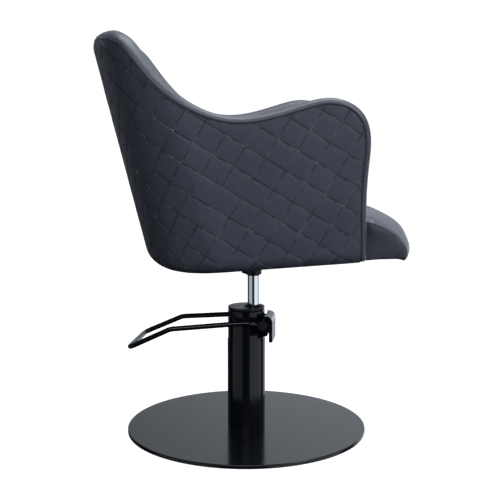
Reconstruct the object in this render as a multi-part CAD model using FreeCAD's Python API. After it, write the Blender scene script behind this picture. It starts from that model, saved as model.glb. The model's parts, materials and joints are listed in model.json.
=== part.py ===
"""Hydraulic styling chair: quilted tub seat on a foot-pumped lift with a round floor plate.

Millimetres, +Z up. The origin lies on the floor under the ram, which is the swivel axis, and the
sitter faces -Y. The pump stands turned by PUMP_YAW about the swivel axis, so its pieces are drawn
square to the axes first and turned as they are written.
"""
import FreeCAD, Part
import math
import os

from FreeCAD import Rotation, Vector

# ---- driving dimensions: base and pump -------------------------------------------------------
PUMP_YAW = -10.65            # degrees from the seat's heading to the pump's
COLUMN_Y = 16.5              # the column stands this far behind the ram
BASE_R = 280.0
RING_T = 2.0                 # rubber ring under the floor plate
BASE_TOP = 10.0
SLEEVE_R = 44.25
SLEEVE_WALL = 1.9
SLEEVE_TOP = 218.0
HEAD_R = 43.0
HEAD_TOP = 290.0
CAP_TOP = 295.5
BASE_BOLT_PCD = 60.0
RAM_R = 13.65
RAM_LOW = 64.0
RAM_HIGH = 404.0
TAPER_Z = 372.0              # the ram's taper starts here, in the seat hub's mouth
TAPER_R = 12.4               # its radius at the ram's end
HUB_R = 19.4
LINER_R_IN = 16.5
LINER_R_OUT = 19.5
LINER_LOW = 24.0
LINER_HIGH = 236.0
BUSH_HIGH = 282.0
GLAND_R = 22.3
GLAND_TOP = 298.5
FIT = 0.05                   # radial clearance of every running fit
OIL_R = 14.0
OIL_Y = 39.5
# ---- driving dimensions: pedal ---------------------------------------------------------------
PIVOT_Y = -26.5
PIVOT_Z = 256.5
PIVOT_R = 5.0
LUG_HALF = 17.0
CHEEK_IN = 31.0
CHEEK_T = 5.0
CHEEK_R = 14.0
PEDAL_R = 6.0
WEB_Y = -48.5                # front face of the bracket's web
WEB_T = 3.0
WEB_LOW = 217.5
WEB_HIGH = 279.0
HOOD_R = 14.0                # outer bend where the web turns into the roof
HOOD_BACK = -29.0            # rear end of the roof
PEDAL_STROKE = 22.0          # degrees that the pedal swings down
FLAT_BACK = 3.0              # rear end of the flats on the head, beside the cheeks
PLUNGER_X = 23.0
PLUNGER_Y = -11.0
PLUNGER_R = 3.5
PLUNGER_BORE_R = 5.4         # round its spring
PLUNGER_TOP = 250.0
CAM_UNDER = 250.3            # underside of the cam finger, 0.3 over the plunger's dome
# ---- driving dimensions: seat ----------------------------------------------------------------
LEAN = math.radians(13.8)    # the tub is a cylinder about an axis that leans back by this
TUB_BACK = 133.0             # outer face of the back, square to the lean axis
TUB_DEPTH = 161.0            # half-depth of its rounded rear
TUB_POWER = 2.3              # exponent of that superellipse
TUB_HALF_LOW = 255.0         # half-width where the height along the lean axis is TUB_T_LOW
TUB_T_LOW = 408.0
TUB_FLARE = 0.1136           # half-width gained per millimetre along the lean axis
TUB_FRONT = 430.0            # the sides run this far forward before the edge trims them
TUB_STEPS = 28               # points along the smooth back
COVER_T = 6.0                # quilted outer cover
FRAME_T = 10.0               # moulded frame wall
WALL_T = 50.0                # whole wall, with the inner padding
BAND_D = 14.0                # depth of the plain rim band, along the wall from its edge
SEAT_Z = 419.6               # underside of the tub on the swivel axis
SEAT_TILT = -3.5             # degrees about X: the front of the seat is the higher end
REAR_CORNER_R = 57.0
EDGE_R = 25.0
HEM_T = 1.5
HEM_W = 12.0                 # how far the cover turns in under the tub
SILL_TOP = 21.5              # top of the frame's sill, over the tub's underside
SILL_FALL = 0.5              # the sill falls by this towards its inner edge
BOARD_T = 15.0
BOARD_FIT = 1.0              # gap between the board's edge and the frame
BOARD_FRONT = -206.0
TONGUE_HALF = 190.0          # the board's tongue runs forward between the arms
TONGUE_FRONT = -296.0
PLATE_T = 6.0
WASHER_T = 1.6
PLATE_HALF = 95.0
PLATE_BOLT = 75.0            # the four plate bolts stand at plus and minus this
TEE_SUNK = 1.5               # depth of the counterbores for the tee nuts' flanges
CUSHION_GAP = 0.4
CROWN_R = 620.0              # the cushion's front edge is an arc of this radius in plan

# The tub's edge seen from the side, as (y, z): up the arm's front, over its hump, along the arm,
# up the wing and across the top of the back.
RIM = [(-221, 395), (-221, 470), (-218, 560), (-221, 640), (-223, 690), (-206, 742), (-150, 772),
       (-80, 761), (0, 739), (60, 734), (116, 744), (173, 776), (219, 817), (255, 857), (284, 886),
       (316, 903), (352, 908)]

tilt = Rotation(Vector(1, 0, 0), SEAT_TILT)


# ---- shape helpers ---------------------------------------------------------------------------
def cyl(r, low, high, x=0.0, y=0.0):
    return Part.makeCylinder(r, high - low, Vector(x, y, low))


def cone(r_low, r_high, low, high, x=0.0, y=0.0):
    return Part.makeCone(r_low, r_high, high - low, Vector(x, y, low))


def ring(r_in, r_out, low, high, x=0.0, y=0.0):
    return cyl(r_out, low, high, x, y).cut(cyl(r_in, low - 1, high + 1, x, y))


def cyl_x(r, x_low, x_high, y, z):
    return Part.makeCylinder(r, x_high - x_low, Vector(x_low, y, z), Vector(1, 0, 0))


def box(x0, x1, y0, y1, z0, z1):
    return Part.makeBox(x1 - x0, y1 - y0, z1 - z0, Vector(x0, y0, z0))


def hexagon(flats, low, high, x=0.0, y=0.0):
    """A hexagonal prism along Z, this wide across its flats."""
    r = flats / math.sqrt(3)
    corners = [Vector(x + r * math.cos(k * math.pi / 3), y + r * math.sin(k * math.pi / 3), low)
               for k in range(7)]
    return Part.Face(Part.makePolygon(corners)).extrude(Vector(0, 0, high - low))


def hexagon_x(flats, x_low, x_high, y, z):
    """The same along X."""
    r = flats / math.sqrt(3)
    corners = [Vector(x_low, y + r * math.cos(k * math.pi / 3), z + r * math.sin(k * math.pi / 3))
               for k in range(7)]
    return Part.Face(Part.makePolygon(corners)).extrude(Vector(x_high - x_low, 0, 0))


def prism_x(points, half):
    """A closed outline of (y, z) points, extruded to plus and minus half along X."""
    corners = [Vector(-half, y, z) for y, z in points + points[:1]]
    return Part.Face(Part.makePolygon(corners)).extrude(Vector(2 * half, 0, 0))


def spline_x(points, closing, half):
    """The same, with a smooth curve through points and straight lines through closing."""
    curve = Part.BSplineCurve()
    curve.interpolate([Vector(-half, y, z) for y, z in points])
    ends = [points[-1]] + closing + [points[0]]
    back = Part.makePolygon([Vector(-half, y, z) for y, z in ends])
    return Part.Face(Part.Wire([curve.toShape()] + back.Edges)).extrude(Vector(2 * half, 0, 0))


def fuse(shapes):
    whole = shapes[0]
    for shape in shapes[1:]:
        whole = whole.fuse(shape)
    return whole.removeSplitter()


def four(shape_at, reach):
    """Four copies at plus and minus reach along X and Y."""
    places = [(x, y) for x in (-reach, reach) for y in (-reach, reach)]
    return Part.makeCompound([shape_at(x, y) for x, y in places])


def pipe(points, bend, r):
    """A round bar along straight runs joined by arcs of the given bend radii."""
    points = [Vector(*p) for p in points]
    edges, start = [], points[0]
    for i in range(1, len(points) - 1):
        a = (points[i - 1] - points[i]).normalize()
        b = (points[i + 1] - points[i]).normalize()
        half = a.getAngle(b) / 2
        reach = bend[i - 1] / math.tan(half)
        inside = (a + b).normalize()
        centre = points[i] + inside * (bend[i - 1] / math.sin(half))
        first, last = points[i] + a * reach, points[i] + b * reach
        middle = centre - inside * bend[i - 1]
        edges.append(Part.LineSegment(start, first).toShape())
        edges.append(Part.Arc(first, middle, last).toShape())
        start = last
    edges.append(Part.LineSegment(start, points[-1]).toShape())
    profile = Part.Wire(Part.makeCircle(r, points[0], points[1] - points[0]))
    return Part.Wire(edges).makePipeShell([profile], True, True)


# ---- the tub's formula -----------------------------------------------------------------------
def leaned(x, q, t):
    """From across, square to the lean axis, and along it, to the frame's own axes."""
    return Vector(x, q * math.cos(LEAN) + t * math.sin(LEAN),
                  -q * math.sin(LEAN) + t * math.cos(LEAN))


def edge_radius(rear):
    """Radius of the tub's lower edge: small along the sides, large at the middle of the back."""
    return EDGE_R + (REAR_CORNER_R - EDGE_R) * rear ** 2


def skin(depth):
    """How far a face this deep in the wall draws in, at a height over the underside."""
    def inset(height, rear):
        radius = edge_radius(rear)
        if height >= radius:
            return depth
        return radius - math.sqrt(max((radius - depth) ** 2 - (radius - height) ** 2, 0.0))
    return inset


def sharp(depth):
    """The same for a face that runs straight down."""
    return lambda height, rear: depth


def hem(height, rear):
    """Inner edge of what turns in under the tub."""
    return edge_radius(rear) + HEM_W


def outline(height, inset, drop):
    """Points round the tub at this height over its underside, front to front round the back.

    inset(height, rear) says how far each draws in, and drop brings the front ends closer by it.
    """
    slope = math.tan(math.radians(-SEAT_TILT))
    level = SEAT_Z + height / math.cos(math.radians(SEAT_TILT))
    middle = TUB_BACK - TUB_DEPTH

    def place(across, q, drawn_in):
        t = (level + q * (math.sin(LEAN) - slope * math.cos(LEAN))) / (
            math.cos(LEAN) + slope * math.sin(LEAN))
        half = TUB_HALF_LOW + TUB_FLARE * (t - TUB_T_LOW) - drawn_in
        return leaned(across * half, q, t)

    points = []
    for k in range(TUB_STEPS + 1):
        angle = math.pi * k / TUB_STEPS
        across = math.copysign(abs(math.cos(angle)) ** (2 / TUB_POWER), math.cos(angle))
        rear = math.sin(angle) ** (2 / TUB_POWER) if 0 < k < TUB_STEPS else 0.0
        drawn_in = inset(height, math.sin(angle))
        points.append(place(across, middle + rear * (TUB_DEPTH - drawn_in), drawn_in))
    front = middle - TUB_FRONT + drop
    return [place(1, front, inset(height, 0))] + points + [place(-1, front, inset(height, 0))]


def sides_and_back(points):
    """Straight side, smooth back, straight side."""
    curve = Part.BSplineCurve()
    curve.interpolate(points[1:-1], InitialTangent=(points[1] - points[0]).normalize(),
                      FinalTangent=(points[-1] - points[-2]).normalize())
    return [Part.LineSegment(points[0], points[1]).toShape(), curve.toShape(),
            Part.LineSegment(points[-2], points[-1]).toShape()]


def tub_wall(outer, inner, levels):
    """The wall between two faces of the tub, as a stack of ruled bands between the levels."""
    wires = []
    for height in levels:
        out = outline(height, outer, 0)
        back = outline(height, inner, 0)
        wires.append(Part.Wire(sides_and_back(out) + [Part.LineSegment(out[-1],
                                                                       back[-1]).toShape()]
                               + [e for e in sides_and_back(back)][::-1]
                               + [Part.LineSegment(back[0], out[0]).toShape()]))
    return Part.makeLoft(wires, True, True)


def tub_block(face, levels, drop=0):
    """Everything inside one face of the tub."""
    wires = []
    for height in levels:
        points = outline(height, face, drop)
        across = Part.LineSegment(points[-1], points[0]).toShape()
        wires.append(Part.Wire(sides_and_back(points) + [across]))
    return Part.makeLoft(wires, True, True)


def rim_prism(depth):
    """Everything under the tub's edge, drawn in by depth along the edge's normal."""
    curve = Part.BSplineCurve()
    curve.interpolate([Vector(0, y, z) for y, z in RIM])
    points = []
    for y, z in RIM:
        at = curve.parameter(Vector(0, y, z))
        along = curve.tangent(at)[0]
        points.append((y + along.z * depth, z - along.y * depth))
    return spline_x(points, [(420, points[-1][1]), (420, 250), (points[0][0], 250)], 420)


def tilted(shape):
    """Seat pieces are drawn level, with z = 0 at the tub's underside, and tilted into place."""
    shape = shape.copy()
    shape.Placement = FreeCAD.Placement(Vector(0, 0, SEAT_Z), tilt)
    return shape


def slab(low, high):
    """A thick sheet parallel to the tub's underside."""
    return tilted(box(-420, 420, -420, 420, low, high))


# ---- base and column -------------------------------------------------------------------------
def base_plate():
    disc = cyl(BASE_R, RING_T, BASE_TOP, y=COLUMN_Y)
    rims = [e for e in disc.Edges if e.Length > BASE_R and e.BoundBox.ZMin > RING_T]
    return disc.makeFillet(2.0, rims[:1]).cut(base_holes())


def base_places():
    r = BASE_BOLT_PCD / 2
    return [(r * math.cos(a), COLUMN_Y + r * math.sin(a))
            for a in (math.pi / 4 + k * math.pi / 2 for k in range(4))]


def base_holes():
    return fuse([cone(10.0, 5.5, RING_T, RING_T + 4.5, x, y).fuse(
        cyl(5.5, RING_T + 4.5, BASE_TOP, x, y)) for x, y in base_places()])


def base_bolts():
    def bolt(x, y):
        head = cone(9.9, 5.4, RING_T, RING_T + 4.5, x, y)
        socket = hexagon(6.0, RING_T - 1, RING_T + 3, x, y)
        return fuse([head, cyl(4.95, RING_T + 4.5, 21.5, x, y)]).cut(socket)
    return Part.makeCompound([bolt(x, y) for x, y in base_places()])


def floor_ring():
    return ring(BASE_R - 34, BASE_R - 5, 0, RING_T, y=COLUMN_Y)


def column_sleeve():
    return ring(SLEEVE_R - SLEEVE_WALL, SLEEVE_R, BASE_TOP, SLEEVE_TOP, y=COLUMN_Y)


def pump_casting():
    """Cast body: sleeve-covered column below, bare head above, with the pedal's lug in front."""
    body = fuse([cyl(SLEEVE_R - SLEEVE_WALL - 0.3, BASE_TOP, SLEEVE_TOP, y=COLUMN_Y),
                 cyl(HEAD_R, SLEEVE_TOP, HEAD_TOP - 2.5, y=COLUMN_Y),
                 cone(HEAD_R, HEAD_R - 2.5, HEAD_TOP - 2.5, HEAD_TOP, y=COLUMN_Y),
                 cyl_x(11.0, -LUG_HALF, LUG_HALF, PIVOT_Y, PIVOT_Z),
                 prism_x([(PIVOT_Y - 11, PIVOT_Z), (PIVOT_Y - 8, 228), (-14, 222), (-8, 222),
                          (-8, PIVOT_Z + 24), (-17, PIVOT_Z + 20)], LUG_HALF)])
    for x, y in base_places():
        body = body.cut(cyl(5.0, BASE_TOP - 1, 22, x, y))
    for side in (-1, 1):
        low, high = sorted((side * (CHEEK_IN - 0.5), side * 60))
        body = body.cut(box(low, high, -60, FLAT_BACK, PIVOT_Z - 24, PIVOT_Z + 20))
    slot = box(LUG_HALF + 0.2, CHEEK_IN + 20, -40, PLUNGER_Y + 8.5, PIVOT_Z - 17, PIVOT_Z + 13)
    for cut in (cyl(LINER_R_OUT, LINER_LOW, BUSH_HIGH),
                cyl(GLAND_R, BUSH_HIGH, HEAD_TOP + 1),
                cyl(OIL_R, 32, HEAD_TOP + 1, y=OIL_Y),
                cyl_x(PIVOT_R, -LUG_HALF - 1, LUG_HALF + 1, PIVOT_Y, PIVOT_Z),
                slot,
                cyl(PLUNGER_BORE_R, 186, PIVOT_Z - 16, PLUNGER_X, PLUNGER_Y),
                cyl(PLUNGER_R + FIT, 150, 187, PLUNGER_X, PLUNGER_Y)):
        body = body.cut(cut)
    return body


def head_cap():
    spigot = cyl(HEAD_R - 2.6, HEAD_TOP, HEAD_TOP + 1.5, y=COLUMN_Y)
    lid = cyl(HEAD_R, HEAD_TOP + 1.5, CAP_TOP, y=COLUMN_Y)
    top = [e for e in lid.Edges if e.BoundBox.ZMin > CAP_TOP - 0.1 and e.Length > 100]
    return lid.makeFillet(1.2, top).fuse(spigot).cut(cyl(GLAND_R, HEAD_TOP - 1, CAP_TOP + 1))


def cylinder_liner():
    return ring(LINER_R_IN, LINER_R_OUT, LINER_LOW, LINER_HIGH)


def guide_bush():
    return ring(RAM_R + FIT, LINER_R_OUT, LINER_HIGH, BUSH_HIGH)


def gland_nut():
    """Threaded ring round the ram, with four spanner notches."""
    nut = cyl(GLAND_R, BUSH_HIGH, CAP_TOP - 2.5).fuse(cyl(18.6, CAP_TOP - 2.5, GLAND_TOP))
    nut = nut.cut(cyl(14.4, BUSH_HIGH - 1, GLAND_TOP + 1)).cut(cyl(16.6, 288, GLAND_TOP + 1))
    for turn in range(4):
        notch = box(15, 20, -2.5, 2.5, CAP_TOP - 0.5, GLAND_TOP + 1)
        notch.rotate(Vector(), Vector(0, 0, 1), 45 + 90 * turn)
        nut = nut.cut(notch)
    return nut


def wiper_seal():
    skirt = ring(RAM_R + FIT, 16.6, 288, GLAND_TOP - 1)
    lip = cone(16.0, 14.9, GLAND_TOP - 1, GLAND_TOP + 1.5)
    return skirt.fuse(lip.cut(cyl(RAM_R + FIT, 280, 310)))


# ---- ram, piston and swivel ------------------------------------------------------------------
def ram():
    shaft = cyl(RAM_R, RAM_LOW, TAPER_Z)
    taper = cone(RAM_R, TAPER_R, TAPER_Z, RAM_HIGH)
    return fuse([shaft, taper])


def piston():
    body = cyl(LINER_R_IN - FIT, 30, 54)
    return body.cut(ring(LINER_R_IN - 3, LINER_R_IN + 2, 38, 44)).cut(cyl(8.5, 52.0, 55))


def piston_seal():
    return ring(LINER_R_IN - 3, LINER_R_IN - FIT, 38, 44)


def thrust_bearing():
    """Two races with a ring of balls between them; the ram turns on the upper one."""
    races = [ring(6.0, 12.5, 54, 56.5), ring(6.0, 12.5, 61.5, RAM_LOW)]
    balls = [Part.makeSphere(2.5, Vector(9.2 * math.cos(a), 9.2 * math.sin(a), 59.0))
             for a in (k * math.pi / 4 for k in range(8))]
    return races, balls


# ---- pedal -----------------------------------------------------------------------------------
def pedal_lever():
    """One bar bent into a U: both ends are welded to the bracket's cheeks."""
    def side(s):
        return [(s * 42, PIVOT_Y + 15.5, 261), (s * 50, 0, 264.5), (s * 58.5, 34, 264),
                (s * 72, 183.5, 250.5)]
    tip = [(-82, 278.5, 207), (82, 278.5, 207)]
    route = side(-1) + tip + side(1)[::-1]
    return pipe(route, [26, 42, 40, 13, 13, 40, 42, 26], PEDAL_R)


def hood(inset, half):
    """Side outline of the saddle's bent sheet, as a solid: web, rounded top corner and roof."""
    y, z, r = WEB_Y + inset, WEB_HIGH - inset, HOOD_R - inset
    centre = Vector(-half, y + r, z - r)
    low, start = Vector(-half, y, WEB_LOW), Vector(-half, y, z - r)
    middle = centre + Vector(0, -r, r) * math.sqrt(0.5)
    end, back = Vector(-half, y + r, z), Vector(-half, HOOD_BACK, z)
    edges = [Part.LineSegment(low, start).toShape(), Part.Arc(start, middle, end).toShape()]
    edges += Part.makePolygon([end, back, Vector(-half, HOOD_BACK, WEB_LOW), low]).Edges
    return Part.Face(Part.Wire(edges)).extrude(Vector(2 * half, 0, 0))


def pedal_bracket():
    """Pressed saddle: two cheeks on the pivot bolt, and a web and roof bent round their front."""
    out = CHEEK_IN + CHEEK_T
    cheeks = fuse([hood(0, out), cyl_x(CHEEK_R, -out, out, PIVOT_Y, PIVOT_Z),
                   prism_x([(PIVOT_Y, 271), (PIVOT_Y + 23, 268), (PIVOT_Y + 23, 256),
                            (PIVOT_Y, 246)], out)])
    relief = prism_x([(WEB_Y + 8, 210), (WEB_Y + 8, 240), (PIVOT_Y - 8, 245.5), (20, 245.5),
                      (20, 210)], out + 1)
    relief = relief.cut(cyl_x(CHEEK_R, -out - 2, out + 2, PIVOT_Y, PIVOT_Z))
    inside = hood(WEB_T, CHEEK_IN).fuse(box(-CHEEK_IN, CHEEK_IN, HOOD_BACK - 1, 60, 190, 300))
    inside = inside.fuse(box(-CHEEK_IN, CHEEK_IN, WEB_Y + WEB_T, 60, 190, WEB_LOW + 20))
    bracket = cheeks.cut(relief).cut(inside).cut(cyl_x(PIVOT_R + 2, -60, 60, PIVOT_Y, PIVOT_Z))
    for swing in (0, PEDAL_STROKE / 2, PEDAL_STROKE):
        head = cyl(HEAD_R + 0.8, 210, 300, y=COLUMN_Y)
        head.rotate(Vector(0, PIVOT_Y, PIVOT_Z), Vector(1, 0, 0), swing)
        bracket = bracket.cut(head.common(box(-CHEEK_IN, CHEEK_IN, -60, 60, 200, 320)))
    return bracket


def pivot_bushes():
    return Part.makeCompound([ring_x(PIVOT_R + FIT, PIVOT_R + 2, s) for s in (-1, 1)])


def ring_x(r_in, r_out, s):
    low, high = sorted((s * CHEEK_IN, s * (CHEEK_IN + CHEEK_T)))
    return cyl_x(r_out, low, high, PIVOT_Y, PIVOT_Z).cut(
        cyl_x(r_in, low - 1, high + 1, PIVOT_Y, PIVOT_Z))


def pump_cam():
    """Finger inside the far cheek that presses the plunger."""
    finger = prism_x([(PIVOT_Y - 9, PIVOT_Z + 6), (PIVOT_Y - 9, PIVOT_Z - 6),
                      (PIVOT_Y, CAM_UNDER), (PLUNGER_Y + 7, CAM_UNDER),
                      (PLUNGER_Y + 7, CAM_UNDER + 5), (PIVOT_Y + 2, PIVOT_Z + 9)], 60)
    finger = finger.common(box(PLUNGER_X - 3, CHEEK_IN, -60, 60, 200, 300))
    return finger.cut(cyl_x(PIVOT_R + FIT, -60, 60, PIVOT_Y, PIVOT_Z))


def pivot_bolt():
    return cyl_x(PIVOT_R, -CHEEK_IN - CHEEK_T - 9, CHEEK_IN + CHEEK_T + 9, PIVOT_Y, PIVOT_Z)


def pivot_nuts():
    outer = CHEEK_IN + CHEEK_T + 1.8
    nuts = []
    for s in (-1, 1):
        low, high = sorted((s * outer, s * (outer + 6.5)))
        nuts.append(hexagon_x(16.0, low, high, PIVOT_Y, PIVOT_Z).cut(
            cyl_x(PIVOT_R, low - 1, high + 1, PIVOT_Y, PIVOT_Z)))
    return Part.makeCompound(nuts)


def pivot_washers():
    inner = CHEEK_IN + CHEEK_T + 0.3
    washers = []
    for s in (-1, 1):
        low, high = sorted((s * inner, s * (inner + 1.5)))
        washers.append(cyl_x(11.0, low, high, PIVOT_Y, PIVOT_Z).cut(
            cyl_x(PIVOT_R, low - 1, high + 1, PIVOT_Y, PIVOT_Z)))
    return Part.makeCompound(washers)


def plunger():
    x, y = PLUNGER_X, PLUNGER_Y
    dome = Part.makeSphere(PLUNGER_R, Vector(x, y, PLUNGER_TOP - PLUNGER_R))
    return fuse([cyl(PLUNGER_R, 160, PLUNGER_TOP - PLUNGER_R, x, y), dome,
                 cyl(PLUNGER_BORE_R - 0.4, 226, 229, x, y)])


def plunger_spring():
    """Return spring under the plunger's collar: five turns of wire."""
    pitch, wire, radius = 7.2, 0.45, 4.35
    helix = Part.makeHelix(pitch, 5 * pitch, radius)
    start = helix.Edges[0].valueAt(helix.Edges[0].FirstParameter)
    along = helix.Edges[0].tangentAt(helix.Edges[0].FirstParameter)
    profile = Part.Wire(Part.makeCircle(wire, start, along))
    coil = Part.Wire(helix.Edges).makePipeShell([profile], True, True)
    coil.translate(Vector(PLUNGER_X, PLUNGER_Y, 188.2))
    return coil


# ---- seat mounting ---------------------------------------------------------------------------
def seat_hub():
    """Tapered socket for the ram, with its rear rib, welded under the seat plate."""
    socket = fuse([cone(14.4, HUB_R, 368.6, 372.4), cyl(HUB_R, 372.4, 470)])
    rib = prism_x([(12, 369.6), (27, 374.2), (31, 470), (0, 470), (0, 372.5)], 3)
    body = fuse([socket, rib]).cut(slab(SILL_TOP - PLATE_T, 90))
    return body.cut(cyl(RAM_R, 360, TAPER_Z).fuse(cone(RAM_R, TAPER_R, TAPER_Z, RAM_HIGH)))


def seat_plate():
    plate = box(-PLATE_HALF, PLATE_HALF, -PLATE_HALF, PLATE_HALF, SILL_TOP - PLATE_T, SILL_TOP)
    upright = [e for e in plate.Edges if e.BoundBox.ZLength > PLATE_T - 0.5]
    plate = plate.makeFillet(14, upright)
    holes = four(lambda x, y: cyl(4.2, -20, 60, x, y), PLATE_BOLT)
    return tilted(plate.cut(holes))


def plate_bolts():
    low = SILL_TOP - PLATE_T - WASHER_T

    def bolt(x, y):
        return fuse([hexagon(13, low - 5.5, low, x, y),
                     cyl(3.95, low, SILL_TOP + BOARD_T - 1, x, y)])
    return tilted(four(bolt, PLATE_BOLT))


def plate_washers():
    high = SILL_TOP - PLATE_T
    return tilted(four(lambda x, y: ring(4.2, 9.0, high - WASHER_T, high, x, y), PLATE_BOLT))


def tee_nuts():
    low, high = SILL_TOP + 3, SILL_TOP + BOARD_T - TEE_SUNK
    return tilted(four(lambda x, y: fuse([ring(4.0, 5.4, low, high, x, y),
                                          ring(4.0, 10.5, high, high + 1.2, x, y)]), PLATE_BOLT))


# ---- tub and cushion -------------------------------------------------------------------------
SKIN_LEVELS = (6.5, 10.0, 16.0, 25.0, 38.0, 57.0, 640.0)


def seat_board():
    """Plywood seat board: it sits on the frame's sill and reaches forward under the cushion."""
    levels = (SILL_TOP, SILL_TOP + BOARD_T)
    inside = tub_block(skin(COVER_T + FRAME_T + BOARD_FIT), levels)
    inside = inside.common(box(-400, 400, BOARD_FRONT, 400, 0, 900))
    tongue = tilted(box(-TONGUE_HALF, TONGUE_HALF, TONGUE_FRONT, BOARD_FRONT + 6, *levels))
    holes = four(lambda x, y: cyl(5.5, -30, 60, x, y).fuse(
        cyl(10.6, levels[1] - TEE_SUNK, 60, x, y)), PLATE_BOLT)
    return fuse([inside, tongue]).cut(tilted(holes))


def outer_cover(edge_in):
    """Quilted cover with its turned-in hem."""
    def inner(height, rear):
        return hem(height, rear) if height < 4.1 else skin(COVER_T)(height, rear)
    return tub_wall(skin(0), inner, (0.0, 4.0) + SKIN_LEVELS).common(edge_in)


def tub_frame(edge_in):
    """Moulded frame: a thin wall on a sill that carries the seat board."""
    sill_edge = SILL_TOP - SILL_FALL

    def inner(height, rear):
        return hem(height, rear) if height <= sill_edge else skin(COVER_T + FRAME_T)(height, rear)
    levels = tuple(sorted(SKIN_LEVELS + (sill_edge, SILL_TOP, SILL_TOP + BOARD_T)))
    return tub_wall(skin(COVER_T), inner, levels).common(edge_in)


def inner_lining(edge_in):
    levels = (SILL_TOP + BOARD_T, REAR_CORNER_R, 300.0, 640.0)
    return tub_wall(skin(COVER_T + FRAME_T), sharp(WALL_T), levels).common(edge_in)


def rim_band(edge, edge_in):
    """Plain padded band along the whole edge of the tub, as deep as BAND_D."""
    def outer(height, rear):
        return skin(0)(height, 0)
    levels = (0.0, 3.0, 8.0, 16.0, EDGE_R, 300.0, 640.0)
    return tub_wall(outer, sharp(WALL_T), levels).common(edge).cut(edge_in)


def dust_cover():
    sheet = tub_block(hem, (0.0, HEM_T)).common(box(-400, 400, -205, 400, 0, 900))
    return sheet.cut(cyl(32, 300, 500))


def seat_cushion():
    """Box cushion with a crowned top and a rolled waterfall front that bows out in plan."""
    top = [(-326, 425), (-346, 436), (-351, 456), (-345, 480), (-329, 505), (-304, 526),
           (-262, 541), (-200, 549), (-100, 549), (40, 544), (225, 533)]
    body = spline_x(top, [(225, 400), (-250, 400), (-290, 436)], 300)
    rear = body.common(box(-300, 300, -200, 400, 0, 900)).common(slab(SILL_TOP + BOARD_T, 300))
    middle = [f for f in body.Faces if f.BoundBox.XMax < -299][0].copy()
    middle.translate(Vector(300, 0, 0))
    axis = Vector(0, CROWN_R - 351.5, 0)
    middle.rotate(axis, Vector(0, 0, 1), -30)
    front = middle.revolve(axis, Vector(0, 0, 1), 60)
    front = front.common(box(-300, 300, -400, -200, 0, 900))
    inside_arms = box(-300, 300, -222.5, -100, 0, 900).common(slab(-200, SILL_TOP + BOARD_T))
    under = slab(-200, 0).common(box(-400, 400, -312, 400, 0, 900))
    front = front.cut(inside_arms).cut(under)
    front = front.cut(tilted(box(-TONGUE_HALF, TONGUE_HALF, TONGUE_FRONT, BOARD_FRONT + 11,
                                 SILL_TOP, SILL_TOP + BOARD_T)))
    return fuse([rear, front]).common(tub_block(sharp(WALL_T + CUSHION_GAP), (-30.0, 300.0)))


def write(node, shape, turned=False):
    shape = shape.copy()
    if turned:
        shape.rotate(Vector(), Vector(0, 0, 1), PUMP_YAW)
    if not shape.isValid():
        print("not valid:", node)
    shape.exportStep("parts/%s.step" % node)
    print("%-18s solids %d  volume %.0f cm3" % (node, len(shape.Solids), shape.Volume / 1000))


os.makedirs("parts", exist_ok=True)
races, balls = thrust_bearing()
for node, shape in (
        ("base_plate", base_plate()), ("base_floor_ring", floor_ring()),
        ("base_bolts", base_bolts()), ("column_sleeve", column_sleeve()),
        ("pump_casting", pump_casting()), ("head_cap", head_cap()),
        ("cylinder_liner", cylinder_liner()), ("ram_guide_bush", guide_bush()),
        ("gland_nut", gland_nut()), ("wiper_seal", wiper_seal()),
        ("piston", piston()), ("piston_seal", piston_seal()),
        ("thrust_races", Part.makeCompound(races)), ("thrust_balls", Part.makeCompound(balls)),
        ("pedal_lever", pedal_lever()), ("pedal_bracket", pedal_bracket()),
        ("pivot_bushes", pivot_bushes()), ("pump_cam", pump_cam()),
        ("pivot_bolt", pivot_bolt()), ("pivot_nuts", pivot_nuts()),
        ("pivot_washers", pivot_washers()), ("pump_plunger", plunger()),
        ("plunger_spring", plunger_spring())):
    write(node, shape, turned=True)

edge = rim_prism(0)
edge_in = rim_prism(BAND_D)
for node, shape in (
        ("ram", ram()), ("seat_hub", seat_hub()), ("seat_plate", seat_plate()),
        ("plate_bolts", plate_bolts()), ("plate_washers", plate_washers()),
        ("tee_nuts", tee_nuts()), ("seat_board", seat_board()), ("dust_cover", dust_cover()),
        ("outer_cover", outer_cover(edge_in)), ("tub_frame", tub_frame(edge_in)),
        ("inner_lining", inner_lining(edge_in)), ("rim_band", rim_band(edge, edge_in)),
        ("seat_cushion", seat_cushion())):
    write(node, shape)
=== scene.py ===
"""Looks of the hydraulic styling chair: quilted tub, padded rim, lining, cushion, pump and studio.

Metres, in the CAD model's frame: the swivel axis is Z and the sitter faces -Y. The tub is a cylinder
about an axis that leans back. Its leather is laid out flat as (s, t): s is the length round the
tub from the middle of the back, positive towards +X, and t is the length along the leaning axis.
"""
import json
import math

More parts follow.
